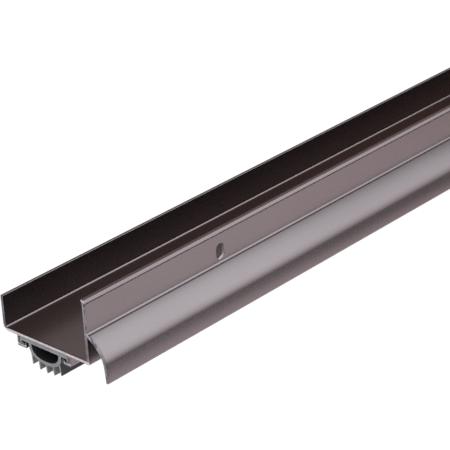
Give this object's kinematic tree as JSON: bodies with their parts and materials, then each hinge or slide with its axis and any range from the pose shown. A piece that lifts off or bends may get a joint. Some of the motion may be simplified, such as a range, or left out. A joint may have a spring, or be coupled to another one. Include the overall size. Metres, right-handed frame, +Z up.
{
  "type": "door sweep",
  "caption": "U-shaped door bottom sweep: a channel that wraps a door's lower edge, with a sloping rain drip and a finned bulb seal that slides out of races under its base.",
  "frame": {"origin": "middle of the seat face, the top of the channel's base, where the bottom edge of the door rests", "axes": "+X along the sweep, -Y towards the weather side that carries the rain drip, +Y towards the room side, +Z up into the door"},
  "size_m": [0.9144, 0.0585, 0.0402],
  "materials": {
    "channel": "satin, dark bronze-grey anodised, with bare saw-cut ends",
    "seal": "matt grey flexible vinyl"
  },
  "bodies": {
    "channel": {"channel": "channel"},
    "seal": {"seal": "seal"}
  },
  "joints": [
    {"name": "seal_slide", "type": "slide", "parent": "channel", "child": "seal", "axis": [1, 0, 0], "range_m": [-0.9, 0.9]}
  ]
}
